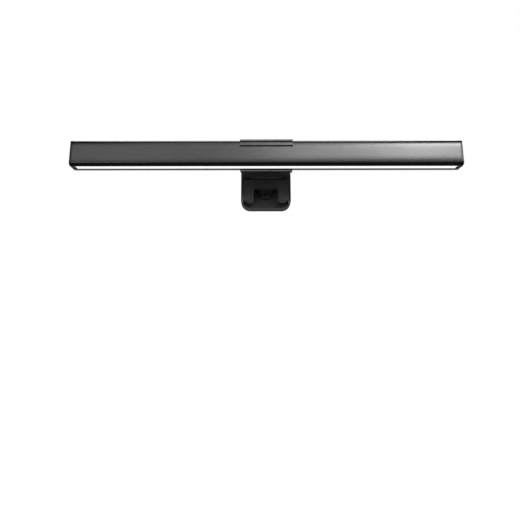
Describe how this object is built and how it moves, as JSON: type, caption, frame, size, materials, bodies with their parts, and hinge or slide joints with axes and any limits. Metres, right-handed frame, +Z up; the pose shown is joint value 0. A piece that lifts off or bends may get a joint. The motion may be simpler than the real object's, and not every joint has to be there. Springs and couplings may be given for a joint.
{
  "type": "monitor light bar",
  "caption": "Slim rectangular light bar with a diffuser strip underneath, held by a cradle on a friction hinge and a sprung clamp that sits over a screen's top edge.",
  "frame": {"origin": "middle of the rest pad's underside, where the clamp sits on the screen's top edge", "axes": "+X along the bar towards its touch-control end, +Y away from the user towards the back of the screen, +Z up"},
  "size_m": [0.3, 0.0663, 0.0459],
  "materials": {
    "bar_metal": "dark grey anodised, satin",
    "cap_plastic": "dark grey paint, satin",
    "clamp_plastic": "fine matt texture",
    "pad_rubber": "soft silicone",
    "diffuser_plastic": "milky, lit from inside",
    "ring_plastic": "milky, lit from inside",
    "reflector_plastic": "white",
    "board_white": "white solder mask",
    "board_green": "green solder mask",
    "chip_plastic": "moulded",
    "can_metal": "bright can",
    "steel": "zinc plated",
    "spring_steel": "oiled black",
    "contact_metal": "bronze",
    "lead_red": "wire insulation",
    "lead_black": "wire insulation",
    "cable_white": "flat cable",
    "washer_plastic": "acetal"
  },
  "bodies": {
    "clamp": {"clamp_body": "clamp_plastic", "back_cover": "clamp_plastic", "cover_screw_left": "steel", "cover_screw_right": "steel", "rest_pad": "pad_rubber", "lip_pad": "pad_rubber", "flap_pin": "steel", "torsion_spring": "spring_steel"},
    "flap": {"flap": "clamp_plastic", "flap_pad": "pad_rubber"},
    "lamp": {"bar_housing": "bar_metal", "left_end_cap": "cap_plastic", "right_end_cap": "cap_plastic", "touch_ring": "ring_plastic", "power_mark_arc": "ring_plastic", "power_mark_bar": "ring_plastic", "diffuser": "diffuser_plastic", "reflector": "reflector_plastic", "led_board": "board_white", "usb_c_socket": "steel", "usb_c_tongue": "chip_plastic", "driver_board": "board_green", "driver_chip": "chip_plastic", "power_inductor": "chip_plastic", "filter_capacitor": "can_metal", "touch_board": "board_green", "touch_spring": "contact_metal", "led_lead_positive": "lead_red", "led_lead_negative": "lead_black", "touch_cable": "cable_white", "bar_cradle": "bar_metal", "cradle_screw_left": "steel", "cradle_screw_right": "steel", "tilt_pin": "steel", "tilt_nut": "steel", "friction_washer_left": "washer_plastic", "friction_washer_right": "washer_plastic"}
  },
  "joints": [
    {"name": "bar_tilt", "type": "hinge", "parent": "clamp", "child": "lamp", "pos_m": [0, -0.0186, 0.0084], "axis": [1, 0, 0], "range_deg": [-20, 5]},
    {"name": "flap_swing", "type": "hinge", "parent": "clamp", "child": "flap", "pos_m": [0, 0.0089, -0.0034], "axis": [1, 0, 0], "range_deg": [0, 20], "stiffness_Nm_per_rad": 0.12, "springref_deg": -20.05, "deforming": ["torsion_spring"]}
  ]
}
